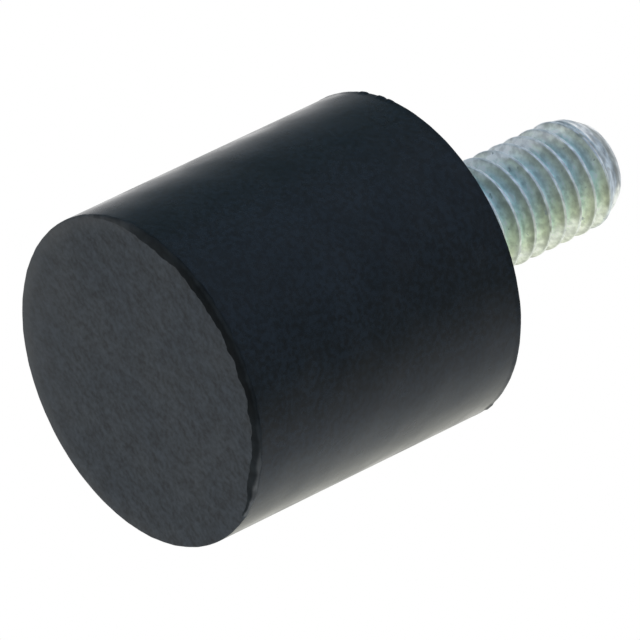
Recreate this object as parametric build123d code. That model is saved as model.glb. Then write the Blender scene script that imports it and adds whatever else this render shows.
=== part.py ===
from build123d import *
import math
import os

# Anti-vibration foot: a rubber cylinder with one threaded stud, in millimetres.
# It stands on its ground rubber face at z = 0, with the stud pointing up along +Z.

# Rubber body
BODY_DIAMETER = 11.8
BODY_HEIGHT = 11.8
BASE_CORNER = 0.15        # small rounded corner round the ground base face
FLASH_PROUD = 0.05        # thin moulding flash round the stud-side rim
FLASH_HEIGHT = 0.12

# Bonding plate, a steel disc with rubber round its edge
PLATE_THICKNESS = 1.5
PLATE_EDGE_RUBBER = 0.6   # wall of rubber between the plate's edge and the outside
PLATE_EDGE_CHAMFER = 0.15

# Threaded stud, M4 with a right-hand thread
STUD_DIAMETER = 4.0       # over the crests of the thread
STUD_PROJECTION = 8.8     # from the plate's outer face to the tip
SHANK_LENGTH = 1.0        # plain length over the plate, before the thread starts
THREAD_PITCH = 0.7
CREST_START_TURN = 0.421  # how far before +X the crest would cross the seat, in turns
TIP_FACE_DIAMETER = 3.0
TIP_CHAMFER_LENGTH = 0.6

# The stud is pressed into the plate from the rubber side: a shoulder fills the hole, under a flat head
SHOULDER_DIAMETER = 4.6
HEAD_DIAMETER = 6.6
HEAD_THICKNESS = 0.9
HEAD_ROUND = 0.3

# Fits: the shoulder is a press fit in the plate, and rubber is bonded to the plate and the head
PRESS_CLEARANCE = 0.0
BOND_CLEARANCE = 0.0

# The metric thread's form: a V of 60 degrees with a flat crest and a flat root
FLANK_SLOPE = math.tan(math.radians(30))
SHARP_V_SHARE = 0.5 / FLANK_SLOPE      # height of the V before it is cut flat, as a share of the pitch
DEPTH_SHARE = 17 / 24                  # of that height, from the crest to the root
THREAD_DEPTH = DEPTH_SHARE * SHARP_V_SHARE * THREAD_PITCH
CREST_FLAT = THREAD_PITCH / 8
FLANK_RISE = THREAD_DEPTH * FLANK_SLOPE

# Places along the axis
SEAT_Z = BODY_HEIGHT
PLATE_BOTTOM_Z = SEAT_Z - PLATE_THICKNESS
HEAD_BOTTOM_Z = PLATE_BOTTOM_Z - HEAD_THICKNESS
THREAD_START_Z = SEAT_Z + SHANK_LENGTH
TIP_Z = SEAT_Z + STUD_PROJECTION

# Radii worked out from the sizes above
BODY_RADIUS = BODY_DIAMETER / 2
PLATE_RADIUS = BODY_RADIUS - PLATE_EDGE_RUBBER
STUD_RADIUS = STUD_DIAMETER / 2
ROOT_RADIUS = STUD_RADIUS - THREAD_DEPTH
TIP_FACE_RADIUS = TIP_FACE_DIAMETER / 2
TIP_SLOPE = (STUD_RADIUS - TIP_FACE_RADIUS) / TIP_CHAMFER_LENGTH
SHOULDER_RADIUS = SHOULDER_DIAMETER / 2
HEAD_RADIUS = HEAD_DIAMETER / 2

FROM_BOTTOM = (Align.CENTER, Align.CENTER, Align.MIN)


def upright(radius, bottom_z, top_z):
    """A plain cylinder on the axis, between two heights."""
    return Pos(0, 0, bottom_z) * Cylinder(radius, top_z - bottom_z, align=FROM_BOTTOM)


def rims_at(solid, height):
    """The circular edges of a solid that lie at one height."""
    return solid.edges().filter_by(GeomType.CIRCLE).filter_by_position(Axis.Z, height, height)


def plate_disc(clearance=0.0):
    """The plate's outer form without its hole, or the room for it with a clearance."""
    bottom_z = PLATE_BOTTOM_Z - clearance
    disc = upright(PLATE_RADIUS + clearance, bottom_z, SEAT_Z)
    return chamfer(rims_at(disc, bottom_z), PLATE_EDGE_CHAMFER)


def stud_head(clearance=0.0):
    """The flat head that bears on the plate, or the room for it with a clearance."""
    bottom_z = HEAD_BOTTOM_Z - clearance
    head = upright(HEAD_RADIUS + clearance, bottom_z, PLATE_BOTTOM_Z)
    return fillet(rims_at(head, bottom_z), HEAD_ROUND)


def helix_turn(radius, start_z):
    """One turn of a helix on the axis, which starts over +X and climbs one pitch."""
    return Edge.make_helix(THREAD_PITCH, THREAD_PITCH, radius, center=(0, 0, start_z))


def profile_corners(start_z):
    """Radius and height of one pitch's corners: over the crest, down a flank, along the root and back up."""
    return [
        (STUD_RADIUS, start_z),
        (STUD_RADIUS, start_z + CREST_FLAT),
        (ROOT_RADIUS, start_z + CREST_FLAT + FLANK_RISE),
        (ROOT_RADIUS, start_z + THREAD_PITCH - FLANK_RISE),
        (STUD_RADIUS, start_z + THREAD_PITCH),
    ]


def thread_turn(start_z):
    """The four strips of one turn of the thread: crest, flank, root and flank."""
    helices = [helix_turn(radius, z) for radius, z in profile_corners(start_z)]
    return [Face.make_surface_from_curves(a, b) for a, b in zip(helices, helices[1:])]


def thread_end(start_z):
    """A ramp of one turn round the axis and its upright step, which together close the thread."""
    core = Edge.make_line((0, 0, start_z), (0, 0, start_z + THREAD_PITCH))
    ramp = Face.make_surface_from_curves(helix_turn(STUD_RADIUS, start_z), core)
    corners = [(0, start_z), *profile_corners(start_z), (0, start_z + THREAD_PITCH)]
    step = Plane.XZ * make_face(Polyline(*corners, close=True))
    return [ramp, *step.faces()]


def thread():
    """The thread from the end of the plain shank to the tip, cut level there and chamfered by a cone."""
    start_z = SEAT_Z + (CREST_START_TURN - 1) * THREAD_PITCH - CREST_FLAT / 2
    turns = math.ceil((TIP_Z - start_z) / THREAD_PITCH)
    faces = thread_end(start_z) + thread_end(start_z + turns * THREAD_PITCH)
    for i in range(turns):
        faces += thread_turn(start_z + i * THREAD_PITCH)
    length = TIP_Z - THREAD_START_Z
    cone = Cone(TIP_FACE_RADIUS + TIP_SLOPE * length, TIP_FACE_RADIUS, length, align=FROM_BOTTOM)
    return Solid(Shell(faces)) & Pos(0, 0, THREAD_START_Z) * cone


def threaded_stud():
    """The head, the press shoulder, the plain shank and the thread with its chamfered tip."""
    shoulder = upright(SHOULDER_RADIUS, PLATE_BOTTOM_Z, SEAT_Z)
    shank = upright(STUD_RADIUS, SEAT_Z, THREAD_START_Z)
    return stud_head() + [shoulder, shank, thread()]


def bonding_plate():
    """The steel disc with the hole for the stud's shoulder."""
    hole = upright(SHOULDER_RADIUS + PRESS_CLEARANCE, PLATE_BOTTOM_Z, SEAT_Z)
    return plate_disc() - hole


def rubber_body():
    """The moulded cylinder with its flash, less the room that the plate and the head take."""
    cylinder = upright(BODY_RADIUS, 0, SEAT_Z)
    cylinder = fillet(rims_at(cylinder, 0), BASE_CORNER)
    flash = upright(BODY_RADIUS + FLASH_PROUD, SEAT_Z - FLASH_HEIGHT, SEAT_Z)
    return cylinder + flash - plate_disc(BOND_CLEARANCE) - stud_head(BOND_CLEARANCE)


def write_parts():
    """One STEP file for each piece."""
    os.makedirs("parts", exist_ok=True)
    pieces = {
        "rubber_body": rubber_body(),
        "bonding_plate": bonding_plate(),
        "threaded_stud": threaded_stud(),
    }
    for name, piece in pieces.items():
        export_step(piece, f"parts/{name}.step")


write_parts()
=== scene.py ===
import math

import bmesh
import bpy
import numpy as np
from bpy.props import FloatProperty, FloatVectorProperty, IntProperty, PointerProperty
from mathutils import Matrix, Vector


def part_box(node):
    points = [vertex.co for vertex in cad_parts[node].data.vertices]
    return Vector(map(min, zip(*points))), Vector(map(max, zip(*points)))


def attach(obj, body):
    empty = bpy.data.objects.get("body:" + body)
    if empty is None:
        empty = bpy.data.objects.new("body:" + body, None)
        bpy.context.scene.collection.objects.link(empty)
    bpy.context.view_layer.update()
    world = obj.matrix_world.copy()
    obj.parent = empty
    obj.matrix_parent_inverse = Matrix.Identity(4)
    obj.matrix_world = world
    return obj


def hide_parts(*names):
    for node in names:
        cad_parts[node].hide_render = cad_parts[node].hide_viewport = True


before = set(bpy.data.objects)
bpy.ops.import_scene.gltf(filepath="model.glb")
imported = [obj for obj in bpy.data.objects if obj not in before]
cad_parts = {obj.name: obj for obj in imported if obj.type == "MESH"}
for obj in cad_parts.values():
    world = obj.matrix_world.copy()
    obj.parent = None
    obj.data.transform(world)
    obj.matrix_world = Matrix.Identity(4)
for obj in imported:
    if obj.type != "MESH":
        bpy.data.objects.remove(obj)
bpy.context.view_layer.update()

bl_info = {
    "name": "Anti-vibration foot",
    "version": (1, 0, 0),
    "blender": (4, 5, 0),
    "location": "3D View > Sidebar > Foot",
    "description": "Dresses the packed rubber foot: moulded rubber, a rolled thread and a plain studio",
    "category": "Object",
}

_, BODY_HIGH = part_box("rubber_body")
PLATE_LOW, PLATE_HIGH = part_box("bonding_plate")
STUD_LOW, STUD_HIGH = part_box("threaded_stud")
MM = 0.001

# Driving sizes of the CAD part that its boxes don't give, in millimetres
FLASH_PROUD = 0.05
FLASH_HEIGHT = 0.12
PLATE_EDGE_CHAMFER = 0.15
STUD_DIAMETER = 4.0
SHANK_LENGTH = 1.0
SHOULDER_DIAMETER = 4.6
HEAD_ROUND = 0.3

# The ground edge: angle round the base in degrees, and how far the torn band reaches in from the side, in mm
GROUND_EDGE_BAND = (
    (-156, 0.13), (-150, 0.20), (-144, 0.27), (-138, 0.37), (-133, 0.43), (-126, 0.45), (-121, 0.35),
    (-117, 0.44), (-111, 0.46), (-105, 0.47), (-99, 0.51), (-93, 0.39), (-91.5, 0.42), (-87, 0.54),
    (-82, 0.39), (-77, 0.48), (-73, 0.41), (-68, 0.33), (-63, 0.45), (-58.5, 0.33), (-53, 0.43),
    (-49, 0.35), (-44, 0.41), (-39, 0.43), (-35, 0.43), (-31, 0.30), (-28, 0.20), (-25, 0.14), (-12, 0.08),
    (6, 0.08), (30, 0.07), (60, 0.06), (95, 0.06), (130, 0.07), (165, 0.08), (190, 0.11),
)
THIN_BAND = 0.12          # a band that is thinner than this looks ground, not torn

# Tags of flash on the rim by the stud: angle in degrees, width in degrees, how proud of the side in mm
FLASH_TAGS = (
    (-157.7, 2.4, 0.045), (-149.1, 2.2, 0.045), (-144.7, 1.8, 0.04), (-9.0, 3.0, 0.045), (-56.0, 5.0, 0.02),
)
FLASH_MEAN = 0.006        # how proud the flash stands between the tags, in mm
TAG_STEEPNESS = 2.2       # how steeply a tag's two ends rise

# Where the rubber's rings lie: as shares of the way out over the base, and of the way over the torn band
BASE_RINGS = (0.2, 0.4, 0.6, 0.75, 0.82, 0.87, 0.91, 0.945, 0.97, 0.99)
BAND_RINGS = (0.14, 0.28, 0.42, 0.58, 0.75, 0.9)
DUB_START = 0.8           # share of the way out where the base begins to be taken off
BAND_STEEPNESS = 0.7      # the torn band is never higher than this share of its width
SIDE_INSET = 0.004        # how far the torn band's outer edge stays inside the side, in mm
SIDE_START = 0.3          # height of the side's first ring, in mm
SIDE_MARGIN = 0.12        # room between the side's last ring and the flash, in mm

# Unevenness round the rubber, as sums of waves: cycles per turn, and height
EDGE_WAVES = ((23, 0.03), (41, 0.03), (67, 0.03), (113, 0.02))
RISE_WAVES = ((9, 0.15), (29, 0.2), (61, 0.15))
SIDE_WAVES = ((3, 0.5), (5, 0.3), (11, 0.2))
FLASH_WAVES = ((7, 0.003), (17, 0.003), (43, 0.003), (91, 0.002))
LIP_WAVES = ((13, 0.1), (37, 0.08), (83, 0.06))

# The rubber body's materials, in the order of its slots
MOULDED, GROUND, TORN = range(3)

# Inputs of the thread's tree: sizes of the part, and then sizes and counts that the settings name alike
PART_INPUTS = ("Major Radius", "Seat Height", "Length", "Shank Length")
SIZE_INPUTS = ("Minor Radius", "Pitch", "Start Turn", "Tip Radius", "Chamfer Length", "Tip Rounding",
               "Run-out", "Crest Rounding", "Root Rounding", "Nick Depth")
COUNT_INPUTS = ("Rows per Pitch", "Columns", "Seed")

# Painted shade along one pitch of the thread, with the crest at a half: the flank towards the tip is darker
PITCH_TONES = (
    (0.0, (0.88, 0.91, 0.93)), (0.10, (0.98, 1.00, 1.00)), (0.30, (0.97, 0.97, 0.97)),
    (0.50, (0.95, 0.95, 0.95)), (0.56, (0.84, 0.84, 0.85)), (0.63, (0.59, 0.60, 0.63)),
    (0.70, (0.42, 0.44, 0.47)), (0.79, (0.41, 0.43, 0.46)), (0.87, (0.56, 0.58, 0.61)),
    (1.0, (0.88, 0.91, 0.93)),
)

# Tones of the light tent's wall: angle in degrees from the camera's side, and colour, where 1 is white
TENT_TONES = (
    (-180, (1.00, 1.00, 1.00)), (-160, (1.10, 1.10, 1.10)), (-150, (0.72, 0.73, 0.75)),
    (-135, (0.35, 0.39, 0.42)), (-115, (0.18, 0.24, 0.28)), (-90, (0.19, 0.27, 0.31)),
    (-45, (0.40, 0.52, 0.66)), (-10, (0.38, 0.48, 0.60)), (15, (0.30, 0.37, 0.43)),
    (40, (0.30, 0.36, 0.39)), (55, (0.46, 0.50, 0.51)), (72, (0.64, 0.68, 0.70)),
    (85, (0.76, 0.80, 0.84)), (105, (0.88, 0.93, 0.95)), (120, (0.92, 0.95, 0.94)),
    (140, (0.96, 0.97, 0.90)), (155, (0.94, 0.94, 0.86)), (180, (1.00, 1.00, 0.96)),
)
TENT_HEIGHTS = (-0.09, 0.15)
TENT_COLUMNS = 120

# The large lamp: where it stands from the foot's middle, and its size in metres
MIDDLE = Vector((0.0, 0.0, 9.0 * MM))
KEY_DIRECTION = Vector((0.90, 0.25, -0.35)).normalized()
KEY_DISTANCE = 0.15
KEY_SIZE = 0.12
KEY_COLOUR = (1.0, 0.985, 0.95)

# The floor lies just under the foot and fades out from this far off its middle, to this share of its radius
FLOOR_HEIGHT = -0.02 * MM
FLOOR_CORNERS = 96
FADE_START = 0.02
FADE_END_SHARE = 0.6

WHITE = (1.0, 1.0, 1.0, 1.0)


def count_setting(name, description, default, low, high):
    """A whole number between two limits."""
    return IntProperty(name=name, description=description, default=default, min=low, max=high)


def share_setting(name, description, default):
    """A share between 0 and 1."""
    return FloatProperty(name=name, description=description, default=default, min=0.0, max=1.0)


def length_setting(name, description, millimetres, precision=5, low=0.0):
    """A length, given in millimetres and held in metres."""
    return FloatProperty(name=name, description=description, default=millimetres * MM, min=low * MM,
                         unit='LENGTH', precision=precision)


def colour_setting(name, description, default):
    """A colour."""
    return FloatVectorProperty(name=name, description=description, subtype='COLOR', size=3,
                               default=default, min=0, max=1)


class RubberSettings(bpy.types.PropertyGroup):
    """The moulded rubber body."""
    columns: count_setting("Columns", "Faces round the rubber body", 640, 64, 1024)
    side_rows: count_setting("Side rows", "Faces up the rubber's side", 44, 8, 120)
    corner_height: length_setting("Corner height", "Height of the torn band at the ground edge", 0.09)
    side_wave: length_setting("Side wave", "How far the moulded side strays from a true cylinder", 0.006, 6)
    dub_height: length_setting("Dubbing", "How far grinding took the base edge off on one side", 0.05, 6)
    seed: IntProperty(name="Seed", description="Seed of the unevenness of side, edge and flash", default=12)
    moulded_colour: colour_setting("Moulded rubber", "Colour of the moulded side", (0.0057, 0.0095, 0.0145))
    ground_colour: colour_setting("Ground rubber", "Colour of the ground base face", (0.0283, 0.0350, 0.0420))
    # The rim sheen is painted: a paler colour on the ground face's rim, strongest towards one side.
    rim_sheen_colour: colour_setting(
        "Rim sheen", "Colour of the painted sheen on the base face's rim", (0.075, 0.080, 0.084))
    rim_sheen_direction: FloatProperty(
        name="Rim direction", description="Where the rim's painted sheen is strongest, in degrees from +X", default=130.0)
    torn_colour: colour_setting(
        "Torn rubber", "Colour of the torn edge of the base", (0.0018, 0.0036, 0.0050))
    outer_colour: colour_setting(
        "Outer edge", "Colour where the torn edge meets the side", (0.0110, 0.0145, 0.0175))
    # Edge sheen and edge highlight are painted: the torn edge grows lighter towards its ends, where it meets
    # the side's highlights.
    edge_sheen_colour: colour_setting(
        "Edge sheen", "Colour of the edge towards its ends", (0.016, 0.020, 0.023))
    edge_highlight_colour: colour_setting(
        "Edge highlight", "Colour of the edge at the ends of the tear", (0.100, 0.105, 0.110))


class ThreadSettings(bpy.types.PropertyGroup):
    """The rolled M4 thread of the stud."""
    pitch: length_setting("Pitch", "Axial distance from one crest to the next", 0.7, low=0.1)
    minor_radius: length_setting("Minor radius", "Radius at the bottom of the groove", 1.571)
    start_turn: share_setting("Start", "Where the crest starts, as a share of one turn", 0.421)
    crest_rounding: length_setting("Crest rounding", "How softly the crest turns into the flank", 0.075, 6)
    root_rounding: length_setting("Root rounding", "How softly the flank turns into the groove", 0.16, 6)
    tip_radius: length_setting("Tip radius", "Radius of the flat face at the tip", 1.54)
    chamfer_length: length_setting("Chamfer length", "Length of the chamfer at the tip", 0.75)
    tip_rounding: length_setting("Tip rounding", "How softly the crests turn into the chamfer", 0.25)
    run_out: length_setting("Run-out", "Length over which the groove fades into the plain shank", 0.5)
    nick_depth: length_setting("Nick depth", "Depth of the small nicks along the crests", 0.035, 6)
    rows_per_pitch: count_setting("Rows per pitch", "Faces along one pitch", 32, 8, 64)
    columns: count_setting("Columns", "Faces round the stud", 150, 24, 400)
    seed: IntProperty(name="Seed", description="Seed of the nicks", default=5)


class PlatingSettings(bpy.types.PropertyGroup):
    """The zinc plating of the stud and the bonding plate, with the thread's painted highlights, reflections
    and shade.
    """
    plain: colour_setting("Plain zinc", "Plating on plain faces", (0.58, 0.66, 0.70))
    # Crest, under the crest, straw, blue and groove colour the thread by its depth: a painted highlight on
    # the crest, painted shade under it and painted reflection on the flanks and in the groove, over the
    # plating's blue and straw tints. Straw also tints patches on plain faces.
    crest: colour_setting("Crest", "Plating on the thread's crests", (0.86, 0.90, 0.96))
    under_crest_shade: colour_setting("Under the crest", "Plating on the flank under the crest", (0.39, 0.43, 0.39))
    straw: colour_setting("Straw tint", "Tint of the upper flank and of patches", (0.65, 0.72, 0.63))
    blue: colour_setting("Blue tint", "Tint of the lower flank", (0.90, 1.00, 0.96))
    groove: colour_setting("Groove", "Plating at the bottom of the groove", (0.80, 1.00, 1.00))
    # Cool shine and glare are painted sheen on the stud's -X and +X sides.
    cool_shine: colour_setting("Cool shine", "Pale haze on one side of the stud", (0.98, 0.99, 1.00))
    speck: colour_setting("Specks", "Colour of the small dark specks", (0.30, 0.34, 0.36))
    glare: colour_setting("Glare", "Pale haze on the other side of the stud", (0.97, 1.00, 0.90))
    # Tip band, tip shade and tip rim highlight are painted: reflection after the last crest, shade under the
    # rim, and a highlight on the rim and end.
    tip_band: colour_setting(
        "Tip band", "Plating between the last crest and the tip's rim", (0.45, 0.52, 0.58))
    tip_shade: colour_setting("Tip shade", "Plating under the tip's rim", (0.27, 0.31, 0.32))
    tip_rim_highlight: colour_setting("Tip rim highlight", "Plating of the tip's rim and end", (0.60, 0.64, 0.66))
    metal_share: share_setting("Metal share", "Share of the plating that shines as bare metal does", 0.78)
    groove_metal_share: share_setting("Metal share in the groove", "The same at the groove's bottom", 0.60)


class StageSettings(bpy.types.PropertyGroup):
    """Camera, light tent, lamp and floor."""
    lens: FloatProperty(
        name="Lens", description="Focal length on a 36 mm sensor, in millimetres", default=787.5)
    camera_place: FloatVectorProperty(
        name="Camera place", description="Where the camera stands", size=3,
        default=(0.752 * MM, -381.23 * MM, -263.05 * MM), unit='LENGTH')
    camera_right: FloatVectorProperty(
        name="Camera right", description="Direction to the right in the picture", size=3,
        default=(0.43409, -0.52163, 0.73449))
    camera_up: FloatVectorProperty(
        name="Camera up", description="Direction to the top of the picture", size=3,
        default=(-0.90087, -0.25135, 0.35391))
    room_light: FloatProperty(
        name="Room light", description="Strength of the white room on matt surfaces", default=0.75, min=0.0)
    tent_radius: FloatProperty(
        name="Tent radius", description="Radius of the light tent's round wall", default=0.13, min=0.03,
        unit='LENGTH')
    key_strength: FloatProperty(
        name="Key strength", description="Brightness of the large lamp, where 1 is white", default=0.5,
        min=0.0)
    floor_colour: colour_setting("Floor", "Colour of the floor", (0.9, 0.9, 0.9))
    floor_glow: share_setting(
        "Floor glow", "How far the floor is lifted towards white where it is seen", 0.30)
    floor_radius: FloatProperty(
        name="Floor radius", description="Radius of the round floor", default=0.12, min=0.01, unit='LENGTH')


def angles_round(columns):
    """The angle of each column of a ring."""
    return np.arange(columns) * 2 * math.pi / columns


def smooth_noise(angles, seed, waves):
    """A periodic uneven curve: a sum of (cycles per turn, height) waves with seeded phases."""
    rng = np.random.default_rng(seed)
    total = np.zeros_like(angles)
    for cycles, height in waves:
        total += height * np.sin(cycles * angles + rng.uniform(0, 2 * math.pi))
    return total


def new_mesh(name, vertices, faces):
    """A mesh from its vertices and faces."""
    mesh = bpy.data.meshes.new(name)
    mesh.from_pydata(vertices, [], faces)
    return mesh


def placed(name, data):
    """A new object in the scene, at the origin."""
    piece = bpy.data.objects.new(name, data)
    bpy.context.scene.collection.objects.link(piece)
    return piece


def finish_mesh(mesh, sharp_angle):
    """Outward normals, and smooth shading up to the given angle in degrees."""
    work = bmesh.new()
    work.from_mesh(mesh)
    bmesh.ops.recalc_face_normals(work, faces=work.faces)
    work.to_mesh(mesh)
    work.free()
    mesh.polygons.foreach_set("use_smooth", [True] * len(mesh.polygons))
    mesh.set_sharp_from_angle(angle=math.radians(sharp_angle))
    mesh.update()


def lathe(rows, closed_start=False, closed_end=False):
    """Vertices and faces of rings joined in order, and the number of the ring that each face starts from.

    A row is a pair of arrays: radius and height at each column.
    """
    columns = len(rows[0][0])
    angles = angles_round(columns)
    vertices = []
    faces = []
    ring_of_face = []
    for radius, height in rows:
        vertices += list(zip(radius * np.cos(angles), radius * np.sin(angles), height))
    following = np.roll(np.arange(columns), -1)
    last = len(rows) - 1
    for i in range(last):
        low, high = i * columns, (i + 1) * columns
        faces += [(low + j, low + k, high + k, high + j) for j, k in enumerate(following)]
        ring_of_face += [i] * columns
    if closed_start:
        centre = len(vertices)
        vertices.append((0, 0, float(np.mean(rows[0][1]))))
        faces += [(centre, k, j) for j, k in enumerate(following)]
        ring_of_face += [0] * columns
    if closed_end:
        centre = len(vertices)
        vertices.append((0, 0, float(np.mean(rows[last][1]))))
        start = last * columns
        faces += [(centre, start + j, start + k) for j, k in enumerate(following)]
        ring_of_face += [last] * columns
    return vertices, faces, ring_of_face


def band_reach(angles):
    """How far the torn band reaches in from the side at each angle, in metres."""
    places, reaches = np.array(GROUND_EDGE_BAND).T
    first = places[0]
    degrees = np.mod(np.degrees(angles) - first, 360) + first
    return np.interp(degrees, np.append(places, first + 360), np.append(reaches, reaches[0])) * MM


def flash_proud(angles, seed):
    """How proud of the side the flash stands at each angle, in metres."""
    proud = FLASH_MEAN + smooth_noise(angles, seed, FLASH_WAVES)
    for place, width, height in FLASH_TAGS:
        away = np.abs(np.degrees(np.angle(np.exp(1j * (angles - math.radians(place))))))
        proud = np.maximum(proud, height * np.clip(TAG_STEEPNESS * (1 - away / width), 0, 1))
    return np.clip(proud, 0.0, FLASH_PROUD) * MM


def head_corner():
    """Radius and height of the rounded corner under the stud's head, from its flat face outwards."""
    head = STUD_HIGH.x
    bottom = STUD_LOW.z
    rounding = HEAD_ROUND * MM
    cut = 0.3 * rounding
    return [(head - rounding, bottom), (head - cut, bottom + cut), (head, bottom + rounding)]


class RingStack:
    """The rings of the rubber body, from the middle of its base to the bottom of its pocket."""

    def __init__(self, settings):
        self.settings = settings
        self.angles = angles_round(settings.columns)
        self.side = BODY_HIGH.x - FLASH_PROUD * MM
        self.rows = []
        self.finishes = []

    def noise(self, step, waves):
        """Unevenness round the body. Each step from the seed gives other phases."""
        return smooth_noise(self.angles, self.settings.seed + step, waves)

    def ring(self, radius, height, finish=MOULDED):
        """Adds a ring. Radius and height are numbers, or arrays with one value for each column."""
        flat = np.ones(len(self.angles))
        self.rows.append((radius * flat, height * flat))
        self.finishes.append(finish)

    def base_ring(self, radius, height, finish):
        """Adds a ring of the base, lifted at the rim on the side where grinding took the edge off."""
        outward = np.clip((radius - DUB_START * self.side) / ((1 - DUB_START) * self.side), 0, 1)
        dub = self.settings.dub_height * (0.5 + 0.5 * np.sin(self.angles)) ** 2
        self.ring(radius, height + dub * outward ** 2, finish)

    def wave(self, height):
        """How far the moulded side strays from a true cylinder: its waves turn over on the way up."""
        half_turns = math.pi * height / BODY_HIGH.z
        turn = math.cos(2.3 * half_turns) + 0.5 * math.sin(5.1 * half_turns)
        return -self.settings.side_wave * (0.7 + 0.5 * self.noise(2, SIDE_WAVES) * turn)

    def add_base(self):
        """The ground face and the torn band round it."""
        corner = self.settings.corner_height
        reach = band_reach(self.angles)
        edge = self.side - reach * (1 + self.noise(0, EDGE_WAVES))
        rise = np.minimum(corner, BAND_STEEPNESS * reach) * (1 + self.noise(1, RISE_WAVES))
        outer = self.side - SIDE_INSET * MM
        for share in BASE_RINGS:
            self.base_ring(share * edge, 0.0, GROUND)
        self.base_ring(edge, 0.0, TORN)
        for share in BAND_RINGS:
            bend = share * math.pi / 2
            self.base_ring(edge + (outer - edge) * math.sin(bend), rise * (1 - math.cos(bend)), TORN)
        self.base_ring(outer, rise, MOULDED)
        self.ring(self.side - SIDE_INSET / 2 * MM, corner + 0.05 * MM)

    def add_side(self):
        """The moulded side, and the flash round the rim by the stud."""
        top = BODY_HIGH.z
        flash_bottom = top - FLASH_HEIGHT * MM
        for height in np.linspace(SIDE_START * MM, flash_bottom - SIDE_MARGIN * MM, self.settings.side_rows):
            self.ring(self.side + self.wave(height), height)
        proud = flash_proud(self.angles, self.settings.seed + 3)
        lip = FLASH_HEIGHT * MM * (0.75 + self.noise(4, LIP_WAVES))
        self.ring(self.side + self.wave(flash_bottom), top - lip - 0.05 * MM)
        self.ring(self.side + 0.6 * proud, top - lip)
        self.ring(self.side + proud, top - 0.5 * lip)
        self.ring(self.side + 0.8 * proud, top)
        self.ring(self.side - 0.1 * MM, top)

    def add_pocket(self):
        """The room for the bonding plate and the stud's head."""
        plate = PLATE_HIGH.x
        pocket = PLATE_LOW.z
        chamfer = PLATE_EDGE_CHAMFER * MM
        self.ring(plate, BODY_HIGH.z)
        self.ring(plate, pocket + chamfer)
        self.ring(plate - chamfer, pocket)
        self.ring(STUD_HIGH.x, pocket)
        for radius, height in reversed(head_corner()):
            self.ring(radius, height)


class FOOT_OT_rubber_body(bpy.types.Operator):
    """Makes the rubber body with its ground base, torn edge and flash"""
    bl_idname = "foot.rubber_body"
    bl_label = "Rubber body"

    def execute(self, context):
        settings = context.scene.foot_rubber
        stack = RingStack(settings)
        stack.add_base()
        stack.add_side()
        stack.add_pocket()
        vertices, faces, ring_of_face = lathe(stack.rows, closed_start=True, closed_end=True)
        mesh = new_mesh("moulded_rubber_body", vertices, faces)
        for material in (moulded_rubber(settings), ground_rubber(settings), torn_rubber(settings)):
            mesh.materials.append(material)
        finish = np.array(stack.finishes, dtype=np.int32)[ring_of_face]
        thin = np.resize(band_reach(stack.angles) < THIN_BAND * MM, finish.shape)
        finish[(finish == TORN) & thin] = GROUND
        mesh.polygons.foreach_set("material_index", finish)
        finish_mesh(mesh, 35.0)
        body = placed("moulded_rubber_body", mesh)
        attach(body, "root")
        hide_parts("rubber_body")
        return {'FINISHED'}


class NodeSheet:
    """Short calls for building a node tree. Each value is a number, a colour or another node's output."""

    def __init__(self, tree):
        self.tree = tree

    def feed(self, node, values):
        """Links or sets a node's inputs, each by its name or number."""
        for key, value in values.items():
            if isinstance(value, bpy.types.NodeSocket):
                self.tree.links.new(value, node.inputs[key])
            else:
                node.inputs[key].default_value = value

    def add(self, kind, values=None, **settings):
        """A new node with its settings and the values of its inputs."""
        node = self.tree.nodes.new(kind)
        for key, setting in settings.items():
            setattr(node, key, setting)
        self.feed(node, values or {})
        return node

    def result(self, kind, values=None, **settings):
        """The first output of a new node."""
        return self.add(kind, values, **settings).outputs[0]

    def math(self, operation, *values):
        """One step of arithmetic."""
        return self.result("ShaderNodeMath", dict(enumerate(values)), operation=operation)

    def plus(self, a, b):
        return self.math('ADD', a, b)

    def minus(self, a, b):
        return self.math('SUBTRACT', a, b)

    def times(self, a, b):
        return self.math('MULTIPLY', a, b)

    def over(self, a, b):
        return self.math('DIVIDE', a, b)

    def span(self, value, low, high, start=0.0, end=1.0, eased=True):
        """A value carried from low..high to start..end, and held there beyond them."""
        return self.result(
            "ShaderNodeMapRange",
            {"Value": value, "From Min": low, "From Max": high, "To Min": start, "To Max": end},
            interpolation_type='SMOOTHSTEP' if eased else 'LINEAR')

    def apart(self, vector):
        """The X, Y and Z of a vector."""
        return self.add("ShaderNodeSeparateXYZ", {0: vector}).outputs

    def together(self, x, y, z):
        """A vector from its X, Y and Z."""
        return self.result("ShaderNodeCombineXYZ", {0: x, 1: y, 2: z})

    def off_axis(self, x, y):
        """Distance from the Z axis."""
        return self.math('SQRT', self.plus(self.times(x, x), self.times(y, y)))

    def mix_colour(self, factor, a, b, blend='MIX'):
        """Colour a, turned into colour b by the factor."""
        node = self.add("ShaderNodeMix", {"Factor": factor, 6: a, 7: b}, data_type='RGBA', blend_type=blend)
        return node.outputs[2]

    def shaded(self, colour, by):
        """A colour multiplied by another."""
        return self.mix_colour(1.0, colour, by, 'MULTIPLY')

    def grey(self, value):
        """A grey of the given value."""
        return self.result("ShaderNodeCombineColor", {0: value, 1: value, 2: value})

    def ramp(self, value, tones, factor=1.0):
        """A colour looked up along (position, colour) tones, of which the first is at 0, times a factor."""
        node = self.add("ShaderNodeValToRGB", {"Fac": value})
        elements = node.color_ramp.elements
        elements[0].color = rgba(tones[0][1], factor)
        elements[1].position = tones[-1][0]
        elements[1].color = rgba(tones[-1][1], factor)
        for position, colour in tones[1:-1]:
            elements.new(position).color = rgba(colour, factor)
        return node.outputs[0]


def rgba(colour, factor=1.0):
    """A colour times a factor, and opaque."""
    return (*[min(1.0, c * factor) for c in colour], 1.0)


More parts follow.
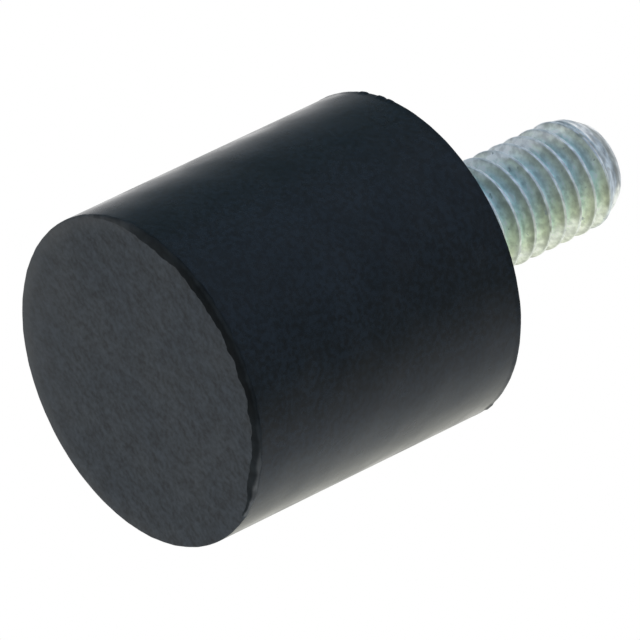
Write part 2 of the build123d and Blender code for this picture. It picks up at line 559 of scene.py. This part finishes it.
def plain_grey(level):
    """An opaque grey, which may be over 1."""
    return (level, level, level, 1.0)


def socket_names(tree, entries, in_out):
    """Named sockets of a node group: (name, socket type, default)."""
    for name, kind, default in entries:
        socket = tree.interface.new_socket(name=name, in_out=in_out, socket_type=kind)
        if default is not None:
            socket.default_value = default


def thread_nicks(sheet, given, place, scale, low, high, shift):
    """Seeded patches over the thread, from 0 to 1."""
    noise = sheet.result("ShaderNodeTexNoise", {
        "Vector": place, "W": sheet.plus(given["Seed"], shift), "Scale": scale, "Detail": 1.0,
    }, noise_dimensions='4D')
    return sheet.span(noise, low, high, eased=False)


def thread_profile(sheet, given, from_crest, place):
    """Radius of the thread by the distance along the axis from its crest, with nicks and a slight sway."""
    plus, minus, times = sheet.plus, sheet.minus, sheet.times
    major = given["Major Radius"]
    small = thread_nicks(sheet, given, place, scale=2400.0, low=0.60, high=0.78, shift=0.0)
    broad = thread_nicks(sheet, given, place, scale=900.0, low=0.40, high=0.75, shift=3.3)
    stray = thread_nicks(sheet, given, place, scale=1500.0, low=0.2, high=0.8, shift=7.7)
    crest = minus(major, times(plus(times(small, 0.7), times(broad, 0.3)), given["Nick Depth"]))
    sway_share = 0.035
    sway = times(minus(stray, 0.5), times(given["Pitch"], sway_share))
    away = sheet.math('MAXIMUM', plus(from_crest, sway), 0.0)

    # A V of 60 degrees with a crest flat of an eighth of the pitch, softened at crest and root
    half_flat = times(given["Pitch"], 1 / 16)
    flank = minus(major, sheet.over(minus(away, half_flat), math.tan(math.radians(30))))
    ridge = sheet.math('SMOOTH_MIN', flank, crest, given["Crest Rounding"])
    return sheet.math('SMOOTH_MAX', ridge, given["Minor Radius"], given["Root Rounding"])


def thread_ends(sheet, given, thread, height):
    """The thread's radius, cut by the chamfered tip and faded into the plain shank."""
    plus, minus, times = sheet.plus, sheet.minus, sheet.times
    major = given["Major Radius"]
    chamfer = given["Chamfer Length"]
    above = minus(height, minus(given["Length"], chamfer))
    slope = sheet.over(minus(major, given["Tip Radius"]), chamfer)
    outside = sheet.math('SMOOTH_MIN', major, minus(major, times(above, slope)), given["Tip Rounding"])
    cut = sheet.math('MINIMUM', thread, outside)

    # Just under the chamfer the last groove fills up, and over the shank the groove fades out
    filled = sheet.span(sheet.over(above, chamfer), -0.38, -0.08, end=0.85)
    cut = plus(cut, times(filled, minus(outside, cut)))
    shank = given["Shank Length"]
    half_fade = sheet.over(given["Run-out"], 2.0)
    fade = sheet.span(height, minus(shank, half_fade), plus(shank, half_fade))
    return plus(major, times(fade, minus(cut, major)))


def thread_tree():
    """Geometry nodes that roll the thread between the two open ends of the blank and close them with it."""
    tree = bpy.data.node_groups.new("rolled_thread", "GeometryNodeTree")
    entries = [("Geometry", "NodeSocketGeometry", None)]
    entries += [(name, "NodeSocketFloat", 0.0) for name in PART_INPUTS + SIZE_INPUTS]
    entries += [(name, "NodeSocketInt", 0) for name in COUNT_INPUTS]
    entries.append(("Material", "NodeSocketMaterial", None))
    socket_names(tree, entries, 'INPUT')
    socket_names(tree, [("Geometry", "NodeSocketGeometry", None)], 'OUTPUT')
    sheet = NodeSheet(tree)
    plus, minus, times = sheet.plus, sheet.minus, sheet.times
    given = sheet.add("NodeGroupInput").outputs
    pitch = given["Pitch"]
    length = given["Length"]

    # A flat grid: columns along X go once round, rows along Y go up by pitch / rows
    turns = plus(sheet.over(length, pitch), 1.0)
    steps = sheet.math('CEIL', times(turns, given["Rows per Pitch"]))
    grid = sheet.result("GeometryNodeMeshGrid", {
        "Size X": 1.0, "Size Y": 1.0,
        "Vertices X": plus(given["Columns"], 1.0), "Vertices Y": plus(steps, 1.0)})
    x, y, _ = sheet.apart(sheet.result("GeometryNodeInputPosition"))
    around = plus(x, 0.5)
    row = sheet.math('ROUND', times(plus(y, 0.5), steps))

    # Each row climbs one pitch a turn, so a crest stays on its own rows and the seam joins row to row
    turn = minus(sheet.over(row, given["Rows per Pitch"]), 1.0)
    climb = times(plus(turn, around), pitch)
    height = sheet.math('MINIMUM', sheet.math('MAXIMUM', climb, 0.0), length)
    whole_turns = 10.0
    share = sheet.math('FRACT', plus(minus(turn, given["Start Turn"]), 0.5 + whole_turns))
    from_crest = times(sheet.math('ABSOLUTE', minus(share, 0.5)), pitch)

    angle = times(around, 2 * math.pi)
    cosine = sheet.math('COSINE', angle)
    sine = sheet.math('SINE', angle)
    major = given["Major Radius"]
    over_crest = sheet.together(times(cosine, major), times(sine, major), height)
    thread = thread_profile(sheet, given, from_crest, over_crest)
    radius = thread_ends(sheet, given, thread, height)
    point = sheet.together(times(cosine, radius), times(sine, radius), plus(height, given["Seat Height"]))
    rolled = sheet.result("GeometryNodeSetPosition", {"Geometry": grid, "Position": point})
    joined = sheet.add("GeometryNodeJoinGeometry")
    for part in (rolled, given["Geometry"]):
        sheet.feed(joined, {0: part})
    merged = sheet.result("GeometryNodeMergeByDistance", {
        "Geometry": joined.outputs[0], "Distance": 0.0005 * MM})
    real = sheet.result("GeometryNodeRealizeInstances", {0: merged})
    painted = sheet.result("GeometryNodeSetMaterial", {"Geometry": real, "Material": given["Material"]})
    sheet.add("NodeGroupOutput", {0: painted})
    return tree


def set_inputs(modifier, tree, values):
    """Sets a modifier's inputs by socket identifier."""
    identifiers = {item.name: item.identifier for item in tree.interface.items_tree
                   if item.item_type == 'SOCKET' and item.in_out == 'INPUT'}
    for name, value in values.items():
        modifier[identifiers[name]] = value


def blank_ends(columns, tip):
    """The stud's head, shoulder and seat ring, and above them its tip face, left open between."""
    seat = PLATE_HIGH.z
    plate_bottom = PLATE_LOW.z
    shoulder = SHOULDER_DIAMETER / 2 * MM
    bevel = 0.03 * MM
    below = [*head_corner(), (STUD_HIGH.x, plate_bottom), (shoulder, plate_bottom), (shoulder, seat - bevel),
             (shoulder - bevel, seat), (STUD_DIAMETER / 2 * MM, seat)]
    above = [(share * tip, STUD_HIGH.z) for share in (1.0, 0.6, 0.25)]
    ring = np.ones(columns)
    vertices, faces, _ = lathe([(r * ring, z * ring) for r, z in below], closed_start=True)
    more, more_faces, _ = lathe([(r * ring, z * ring) for r, z in above], closed_end=True)
    shift = len(vertices)
    return vertices + more, faces + [tuple(i + shift for i in face) for face in more_faces]


class FOOT_OT_threaded_stud(bpy.types.Operator):
    """Makes the stud: the blank with its head, and the thread rolled onto it"""
    bl_idname = "foot.threaded_stud"
    bl_label = "Threaded stud"

    def execute(self, context):
        settings = context.scene.foot_thread
        zinc = zinc_plating(context.scene.foot_plating, "zinc_plated_thread", settings)
        vertices, faces = blank_ends(settings.columns, settings.tip_radius)
        blank = placed("stud_blank", new_mesh("stud_blank", vertices, faces))
        tree = thread_tree()
        modifier = blank.modifiers.new("rolled_thread", 'NODES')
        modifier.node_group = tree
        part_sizes = (STUD_DIAMETER / 2 * MM, PLATE_HIGH.z, STUD_HIGH.z - PLATE_HIGH.z, SHANK_LENGTH * MM)
        set_inputs(modifier, tree, dict(zip(PART_INPUTS, part_sizes)))
        set_inputs(modifier, tree, {name: getattr(settings, name.lower().replace(" ", "_").replace("-", "_"))
                                    for name in SIZE_INPUTS + COUNT_INPUTS})
        set_inputs(modifier, tree, {"Material": zinc})
        context.view_layer.update()
        shape = bpy.data.meshes.new_from_object(blank.evaluated_get(context.evaluated_depsgraph_get()))
        bpy.data.objects.remove(blank)
        if len(shape.vertices) <= len(vertices):
            raise RuntimeError("the thread tree gave no thread")
        finish_mesh(shape, 50.0)
        shape.name = "threaded_stud_m4"
        stud = placed("threaded_stud_m4", shape)
        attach(stud, "root")
        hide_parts("threaded_stud")
        return {'FINISHED'}


class FOOT_OT_bonding_plate(bpy.types.Operator):
    """Gives the bonding plate its zinc plating"""
    bl_idname = "foot.bonding_plate"
    bl_label = "Bonding plate"

    def execute(self, context):
        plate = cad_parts["bonding_plate"]
        zinc = zinc_plating(context.scene.foot_plating, "zinc_plated_sheet")
        plate.data.materials.clear()
        plate.data.materials.append(zinc)
        return {'FINISHED'}


def noise_group(name, numbers, output):
    """A new shader node group whose inputs are a Vector and named numbers: its sheet and its inputs."""
    tree = bpy.data.node_groups.new(name, "ShaderNodeTree")
    socket_names(tree, [("Vector", "NodeSocketVector", None)], 'INPUT')
    socket_names(tree, [(key, "NodeSocketFloat", default) for key, default in numbers.items()], 'INPUT')
    socket_names(tree, [(output, "NodeSocketFloat", None)], 'OUTPUT')
    sheet = NodeSheet(tree)
    return sheet, sheet.add("NodeGroupInput").outputs


def mottle_group():
    """Node group: soft uneven patches over the surface, from low to high."""
    name = "surface_mottle"
    if name not in bpy.data.node_groups:
        numbers = {"Patches per Metre": 1000.0, "Detail": 3.0, "Low": 0.0, "High": 1.0}
        sheet, given = noise_group(name, numbers, "Value")
        noise = sheet.result("ShaderNodeTexNoise", {
            "Vector": given["Vector"], "Scale": given["Patches per Metre"], "Detail": given["Detail"]})
        sheet.add("NodeGroupOutput", {0: sheet.span(noise, 0.3, 0.7, given["Low"], given["High"])})
    return bpy.data.node_groups[name]


def specks_group():
    """Node group: a mask of small scattered specks, of which a larger share shows more."""
    name = "scattered_specks"
    if name not in bpy.data.node_groups:
        sheet, given = noise_group(name, {"Specks per Metre": 3000.0, "Share": 0.1}, "Mask")
        noise = sheet.result("ShaderNodeTexNoise", {
            "Vector": given["Vector"], "Scale": given["Specks per Metre"], "Detail": 2.0})
        no_specks = 0.78
        softness = 0.08
        floor = sheet.minus(no_specks, given["Share"])
        sheet.add("NodeGroupOutput", {0: sheet.span(noise, floor, sheet.plus(floor, softness))})
    return bpy.data.node_groups[name]


def use_group(sheet, tree, values):
    """Places a node group with its values and returns its first output."""
    return sheet.result("ShaderNodeGroup", values, node_tree=tree)


def mottle(sheet, place, per_metre, detail, low=0.0, high=1.0):
    """Soft uneven patches over the surface, from low to high."""
    return use_group(sheet, mottle_group(), {
        "Vector": place, "Patches per Metre": per_metre, "Detail": detail, "Low": low, "High": high})


def new_material(name):
    """A material with a Principled BSDF, its node sheet and its object coordinates."""
    material = bpy.data.materials.new(name)
    material.use_nodes = True
    sheet = NodeSheet(material.node_tree)
    shader = material.node_tree.nodes["Principled BSDF"]
    place = sheet.add("ShaderNodeTexCoord").outputs["Object"]
    return material, sheet, shader, place


def stage_material(name):
    """A material that has no shader yet, its node sheet, its object coordinates and its output."""
    material, sheet, shader, place = new_material(name)
    material.node_tree.nodes.remove(shader)
    return material, sheet, place, material.node_tree.nodes["Material Output"]


def drawn_out(sheet, place, stretch, angle=0.0):
    """Object coordinates for a grain that is drawn out along X, Y and Z, and turned about Z by degrees."""
    return sheet.result("ShaderNodeMapping", {
        "Vector": place, "Rotation": (0.0, 0.0, math.radians(angle)), "Scale": stretch,
    }, vector_type='TEXTURE')


def bump(sheet, shader, height, strength, distance):
    """A bump that feeds the shader's normal."""
    normal = sheet.result("ShaderNodeBump", {"Strength": strength, "Distance": distance, "Height": height})
    sheet.feed(shader, {"Normal": normal})


def moulded_rubber(settings):
    """Satin black rubber as it comes from the mould."""
    material, sheet, shader, place = new_material("moulded_black_rubber")
    cloud = mottle(sheet, place, per_metre=330.0, detail=4.0)
    fine = mottle(sheet, place, per_metre=5400.0, detail=4.0)
    rough = mottle(sheet, place, per_metre=700.0, detail=6.0, low=0.18, high=0.28)
    waves = mottle(sheet, place, per_metre=420.0, detail=1.0)
    colour = sheet.mix_colour(cloud, rgba(settings.moulded_colour, 0.85), rgba(settings.moulded_colour, 1.25))
    grains = sheet.mix_colour(fine, plain_grey(0.30), plain_grey(1.40))
    sheet.feed(shader, {
        "Base Color": sheet.shaded(colour, grains), "Roughness": rough, "Specular IOR Level": 0.3})
    bump(sheet, shader, sheet.plus(sheet.times(fine, 0.05), waves), strength=0.6, distance=0.03 * MM)
    return material


def rim_sheen_mask(sheet, settings, place):
    """Mask of a painted sheen on the ground face's rim, strongest on one side."""
    x, y, _ = sheet.apart(place)
    angle = math.radians(settings.rim_sheen_direction)
    along = sheet.plus(sheet.times(x, math.cos(angle)), sheet.times(y, math.sin(angle)))
    side = sheet.span(along, -3.5 * MM, 4.5 * MM)
    rim = sheet.span(sheet.off_axis(x, y), 5.2 * MM, 5.9 * MM)
    broad = sheet.span(along, 2.0 * MM, 6.5 * MM)
    patches = mottle(sheet, place, per_metre=900.0, detail=3.0, low=0.7, high=1.1)
    edge = sheet.times(sheet.times(side, rim), patches)
    return sheet.plus(sheet.times(edge, 0.55), sheet.times(broad, 0.35))


def ground_rubber(settings):
    """Matt rubber where the base was ground flat, with a painted sheen on its rim."""
    material, sheet, shader, place = new_material("ground_black_rubber")
    drawn = drawn_out(sheet, place, stretch=(1.9, 1.0, 1.0), angle=-19.0)
    lines = mottle(sheet, drawn, per_metre=2900.0, detail=4.0)
    grit = mottle(sheet, place, per_metre=6000.0, detail=4.0)
    cloud = mottle(sheet, place, per_metre=420.0, detail=3.0)
    speckle = sheet.plus(sheet.times(lines, 0.5), sheet.times(grit, 0.5))
    base = sheet.mix_colour(speckle, rgba(settings.ground_colour, 0.42), rgba(settings.ground_colour, 1.58))
    # Painted sheen: the ground face's rim is lightened, most towards one side.
    base = sheet.mix_colour(rim_sheen_mask(sheet, settings, place), base, rgba(settings.rim_sheen_colour))
    shade = sheet.mix_colour(cloud, (0.85, 0.88, 0.92, 1.0), (1.05, 1.02, 1.0, 1.0))
    sheet.feed(shader, {"Base Color": sheet.shaded(base, shade), "Roughness": 0.85})
    bump(sheet, shader, speckle, strength=0.6, distance=0.012 * MM)
    return material


def torn_rubber(settings):
    """Dull rubber along the torn edge: dark in the tear, as pale as the side where it meets the side, and
    lighter towards its ends with a painted sheen and highlight.
    """
    material, sheet, shader, place = new_material("torn_black_rubber")
    x, _, z = sheet.apart(place)
    cloud = mottle(sheet, place, per_metre=1800.0, detail=3.0)
    rise = sheet.plus(z, sheet.times(cloud, 0.015 * MM))
    ends = sheet.span(sheet.math('ABSOLUTE', x), 1.5 * MM, 5.2 * MM)
    right = sheet.span(x, 2.2 * MM, 5.3 * MM)
    left = sheet.span(x, -4.2 * MM, -5.5 * MM)
    outer = sheet.span(rise, 0.022 * MM, 0.054 * MM)
    # Painted sheen: the tear and its rim lighten towards both ends, with a painted highlight at the +X end
    # and a fainter one at the -X end.
    pale = rgba(settings.edge_highlight_colour)
    tear = sheet.mix_colour(ends, rgba(settings.torn_colour), rgba(settings.edge_sheen_colour))
    rim = sheet.mix_colour(ends, rgba(settings.outer_colour), rgba(settings.edge_sheen_colour))
    rim = sheet.mix_colour(sheet.times(right, right), rim, pale)
    edge = sheet.mix_colour(sheet.times(left, 0.4), sheet.mix_colour(outer, tear, rim), pale)
    patches = sheet.mix_colour(cloud, plain_grey(0.7), plain_grey(1.3))
    sheet.feed(shader, {
        "Base Color": sheet.shaded(edge, patches), "Roughness": 0.6, "Specular IOR Level": 0.05})
    bump(sheet, shader, cloud, strength=0.5, distance=0.02 * MM)
    return material


def groove_tones(sheet, settings, rolled, depth, crest, wander):
    """Painted tones from the bottom of the groove up its flanks: painted reflection in the groove and on the
    flanks, painted shade under the crest, and a painted highlight on the crests, broken in random patches.
    """
    tones = sheet.ramp(sheet.plus(depth, wander), (
        (0.0, settings.groove), (0.35, settings.blue), (0.65, settings.straw), (0.92, settings.under_crest_shade)))
    crest_gaps = mottle(sheet, rolled, per_metre=1900.0, detail=3.0, low=-0.6, high=0.7)
    # The crest's painted highlight, darkened in random patches.
    crest_highlight = sheet.mix_colour(
        sheet.math('MAXIMUM', crest_gaps, 0.0), rgba(settings.crest), rgba(settings.crest, 0.50))
    return sheet.mix_colour(crest, tones, crest_highlight)


def pitch_shade(sheet, thread, place, warm_side):
    """Shade along the pitch, which is fainter on the warm side."""
    x, y, z = sheet.apart(place)
    turns = sheet.over(sheet.math('ARCTAN2', y, x), 2 * math.pi)
    climb = sheet.over(sheet.minus(z, PLATE_HIGH.z), thread.pitch)
    along = sheet.math('FRACT', sheet.plus(sheet.minus(climb, turns), 0.5 - thread.start_turn))
    return sheet.mix_colour(sheet.times(warm_side, 0.75), sheet.ramp(along, PITCH_TONES), WHITE)


def tip_tones(sheet, settings, rolled, z):
    """The last millimetre: a lilac band of painted reflection after the last crest, a grey band of painted
    shade, and a paler rim and end with a painted highlight, in uneven patches.
    """
    along = sheet.span(z, STUD_HIGH.z - 1.0 * MM, STUD_HIGH.z, eased=False)
    tones = sheet.ramp(along, (
        (0.0, settings.tip_band), (0.50, settings.tip_band), (0.62, settings.tip_shade),
        (0.78, settings.tip_shade), (0.92, settings.tip_rim_highlight)))
    tip_patches = mottle(sheet, rolled, per_metre=3200.0, detail=4.0, low=0.66, high=1.20)
    return sheet.shaded(tones, sheet.grey(tip_patches))


def thread_tones(sheet, settings, thread, place):
    """The thread's colour, with its painted highlights, reflections and shade, its metal share, and the
    coordinates that its grain follows.
    """
    x, y, z = sheet.apart(place)
    radius = sheet.off_axis(x, y)
    rolled = drawn_out(sheet, place, stretch=(2.0, 2.0, 1.0))
    wander = mottle(sheet, rolled, per_metre=1500.0, detail=3.0, low=-0.10, high=0.10)
    major = STUD_DIAMETER / 2 * MM
    depth = sheet.span(radius, thread.minor_radius, major, eased=False)
    crest = sheet.span(radius, major - 0.028 * MM, major - 0.010 * MM)
    # Warmer towards +X, the side of the warm lamp: partly the plating's straw tint, partly painted warm
    # reflection.
    warm_side = sheet.span(x, -0.4 * MM, 1.4 * MM)
    near_tip = sheet.span(z, STUD_HIGH.z - 0.98 * MM, STUD_HIGH.z - 0.84 * MM)
    warmth = sheet.mix_colour(warm_side, (0.98, 0.99, 1.0, 1.0), (0.92, 0.91, 0.74, 1.0))
    tones = sheet.shaded(groove_tones(sheet, settings, rolled, depth, crest, wander), warmth)
    tones = sheet.shaded(tones, pitch_shade(sheet, thread, place, warm_side))
    tones = sheet.mix_colour(near_tip, tones, tip_tones(sheet, settings, rolled, z))

    # Painted sheen on two sides, which reaches further round the tip
    strayed = sheet.plus(x, sheet.times(wander, -2.5 * MM))
    strayed = sheet.times(strayed, sheet.plus(1.0, sheet.times(near_tip, 0.45)))
    patches = mottle(sheet, rolled, per_metre=1500.0, detail=5.0, low=0.30, high=1.30)
    shine = sheet.times(sheet.span(strayed, -1.08 * MM, -1.72 * MM), patches)
    shine = sheet.math('MINIMUM', sheet.plus(shine, sheet.times(shine, crest)), 1.0)
    tones = sheet.mix_colour(shine, tones, rgba(settings.cool_shine))
    upper = sheet.times(sheet.span(depth, 0.55, 0.95), 0.5)
    glare = sheet.times(sheet.span(strayed, 1.25 * MM, 1.95 * MM), sheet.minus(1.0, upper))
    tones = sheet.mix_colour(sheet.times(glare, 0.85), tones, rgba(settings.glare))

    # The plating is less metal where the painted sheen and glare lie, away from the tip.
    metal = sheet.span(depth, 0.0, 1.0, settings.groove_metal_share, settings.metal_share, eased=False)
    matt = sheet.plus(sheet.times(shine, 0.50), sheet.times(glare, 0.30))
    matt = sheet.times(matt, sheet.minus(1.0, near_tip))
    return tones, sheet.minus(metal, matt), rolled


def zinc_plating(settings, name, thread=None):
    """Bright bluish zinc plating with a faint straw tint, fine grain and small dark specks; on the thread,
    its colour also carries painted highlights, reflections and shade.
    """
    material, sheet, shader, place = new_material(name)
    if thread:
        colour, metal, grain_place = thread_tones(sheet, settings, thread, place)
        darkest, lightest, speck_strength = 0.77, 1.19, 0.7
    else:
        tint = mottle(sheet, place, per_metre=620.0, detail=3.0, high=0.35)
        colour = sheet.mix_colour(tint, rgba(settings.plain), rgba(settings.straw))
        metal, grain_place = settings.metal_share, place
        darkest, lightest, speck_strength = 0.85, 1.05, 0.3
    shade = mottle(sheet, grain_place, per_metre=7000.0, detail=4.0, low=darkest, high=lightest)
    specks = use_group(sheet, specks_group(), {"Vector": place, "Specks per Metre": 3600.0, "Share": 0.10})
    colour = sheet.mix_colour(sheet.times(specks, speck_strength), sheet.shaded(colour, sheet.grey(shade)),
                              rgba(settings.speck))
    rough = mottle(sheet, place, per_metre=3000.0, detail=3.0, low=0.32, high=0.50)
    sheet.feed(shader, {"Base Color": colour, "Metallic": metal, "Roughness": rough})
    grain = mottle(sheet, place, per_metre=6500.0, detail=3.0)
    bump(sheet, shader, grain, strength=0.35, distance=0.006 * MM)
    return material


def white_room(settings):
    """A white world: plain white where it is seen, a little less on matt surfaces."""
    world = bpy.data.worlds.new("white_room")
    world.use_nodes = True
    sheet = NodeSheet(world.node_tree)
    rays = sheet.add("ShaderNodeLightPath").outputs
    mirrored = sheet.math('MAXIMUM', rays["Is Glossy Ray"], rays["Is Transmission Ray"])
    seen = sheet.math('MAXIMUM', rays["Is Camera Ray"], mirrored)
    strength = sheet.plus(sheet.times(seen, 1.0 - settings.room_light), settings.room_light)
    sheet.feed(world.node_tree.nodes["Background"], {"Color": WHITE, "Strength": strength})
    bpy.context.scene.world = world


def tent_wall(settings):
    """The light tent's round wall: surfaces reflect it, and the camera doesn't see it."""
    ring = np.ones(TENT_COLUMNS)
    vertices, faces, _ = lathe([(settings.tent_radius * ring, height * ring) for height in TENT_HEIGHTS])
    mesh = new_mesh("tent_wall", vertices, faces)
    material, sheet, place, output = stage_material("tent_wall")
    x, y, _ = sheet.apart(place)
    angle = sheet.math('ARCTAN2', x, sheet.times(y, -1.0))
    share = sheet.plus(sheet.over(angle, 2 * math.pi), 0.5)

    # The ramp holds the tones halved and the glow doubles them, because a ramp's colours end at 1
    tones = sheet.ramp(share, [(degrees / 360 + 0.5, tone) for degrees, tone in TENT_TONES], factor=0.5)
    glow = sheet.result("ShaderNodeEmission", {"Strength": 2.0, "Color": tones})
    sheet.feed(output, {"Surface": glow})
    mesh.materials.append(material)
    wall = placed("tent_wall", mesh)
    wall.visible_camera = False
    wall.visible_shadow = False


def soft_key(settings):
    """The large soft lamp, whose face has the brightness of the settings."""
    data = bpy.data.lights.new("soft_key", 'AREA')
    data.shape = 'SQUARE'
    data.size = KEY_SIZE
    data.energy = settings.key_strength * math.pi * KEY_SIZE * KEY_SIZE
    data.color = KEY_COLOUR
    lamp = placed("soft_key", data)
    lamp.location = MIDDLE + KEY_DIRECTION * KEY_DISTANCE
    lamp.rotation_mode = 'QUATERNION'
    lamp.rotation_quaternion = (-KEY_DIRECTION).to_track_quat('-Z', 'Y')
    lamp.visible_camera = False


def pale_floor(settings):
    """A round pale floor that fades into the white room, and isn't there from below or for reflections."""
    radius = settings.floor_radius
    ring = [(radius * math.cos(a), radius * math.sin(a), FLOOR_HEIGHT) for a in angles_round(FLOOR_CORNERS)]
    mesh = new_mesh("pale_floor", ring, [tuple(range(FLOOR_CORNERS))])
    material, sheet, place, output = stage_material("pale_floor")
    matt = sheet.result("ShaderNodeBsdfDiffuse", {"Color": rgba(settings.floor_colour)})
    lift = sheet.result("ShaderNodeEmission", {"Strength": settings.floor_glow})
    both = sheet.result("ShaderNodeAddShader", {0: matt, 1: lift})
    clear = sheet.result("ShaderNodeBsdfTransparent")
    far = sheet.add("ShaderNodeVectorMath", {0: place}, operation='LENGTH').outputs["Value"]
    fade = sheet.span(far, FADE_START, radius * FADE_END_SHARE, 1.0, 0.0)
    from_above = sheet.minus(1.0, sheet.add("ShaderNodeNewGeometry").outputs["Backfacing"])
    camera = sheet.add("ShaderNodeLightPath").outputs["Is Camera Ray"]
    shown = sheet.times(fade, sheet.times(from_above, camera))
    sheet.feed(output, {"Surface": sheet.result("ShaderNodeMixShader", {0: shown, 1: clear, 2: both})})
    mesh.materials.append(material)
    floor = placed("pale_floor", mesh)


def photo_camera(settings):
    """The camera, at the photograph's viewing angle."""
    data = bpy.data.cameras.new("photo_camera")
    data.lens = settings.lens
    data.sensor_width = 36.0
    data.clip_start = 0.01
    data.clip_end = 10.0
    right = Vector(settings.camera_right).normalized()
    up = Vector(settings.camera_up).normalized()
    turn = Matrix((right, up, right.cross(up))).transposed().to_4x4()
    camera = placed("photo_camera", data)
    camera.matrix_world = Matrix.Translation(settings.camera_place) @ turn
    bpy.context.scene.camera = camera


class FOOT_OT_stage(bpy.types.Operator):
    """Sets the camera, the white room, the floor, the light tent's wall and the lamp"""
    bl_idname = "foot.stage"
    bl_label = "Stage"

    def execute(self, context):
        settings = context.scene.foot_stage
        context.scene.view_settings.view_transform = 'Standard'
        photo_camera(settings)
        white_room(settings)
        pale_floor(settings)
        tent_wall(settings)
        soft_key(settings)
        return {'FINISHED'}


class FOOT_PT_panel(bpy.types.Panel):
    """Lists the foot's settings and operators"""
    bl_idname = "FOOT_PT_panel"
    bl_label = "Anti-vibration foot"
    bl_space_type = 'VIEW_3D'
    bl_region_type = 'UI'
    bl_category = "Foot"

    def draw(self, context):
        scene = context.scene
        for group, operator in ((scene.foot_rubber, "foot.rubber_body"),
                                (scene.foot_thread, "foot.threaded_stud"),
                                (scene.foot_plating, "foot.bonding_plate"),
                                (scene.foot_stage, "foot.stage")):
            box = self.layout.box()
            for name in group.bl_rna.properties.keys():
                if name not in {"rna_type", "name"}:
                    box.prop(group, name)
            box.operator(operator)


CLASSES = (RubberSettings, ThreadSettings, PlatingSettings, StageSettings, FOOT_OT_rubber_body,
           FOOT_OT_threaded_stud, FOOT_OT_bonding_plate, FOOT_OT_stage, FOOT_PT_panel)
GROUPS = {"foot_rubber": RubberSettings, "foot_thread": ThreadSettings, "foot_plating": PlatingSettings,
          "foot_stage": StageSettings}


def register():
    for made in CLASSES:
        bpy.utils.register_class(made)
    for name, group in GROUPS.items():
        setattr(bpy.types.Scene, name, PointerProperty(type=group))


def unregister():
    for name in GROUPS:
        delattr(bpy.types.Scene, name)
    for made in reversed(CLASSES):
        bpy.utils.unregister_class(made)


def main():
    register()
    bpy.ops.foot.rubber_body()
    bpy.ops.foot.threaded_stud()
    bpy.ops.foot.bonding_plate()
    bpy.ops.foot.stage()


if __name__ == "__main__":
    main()
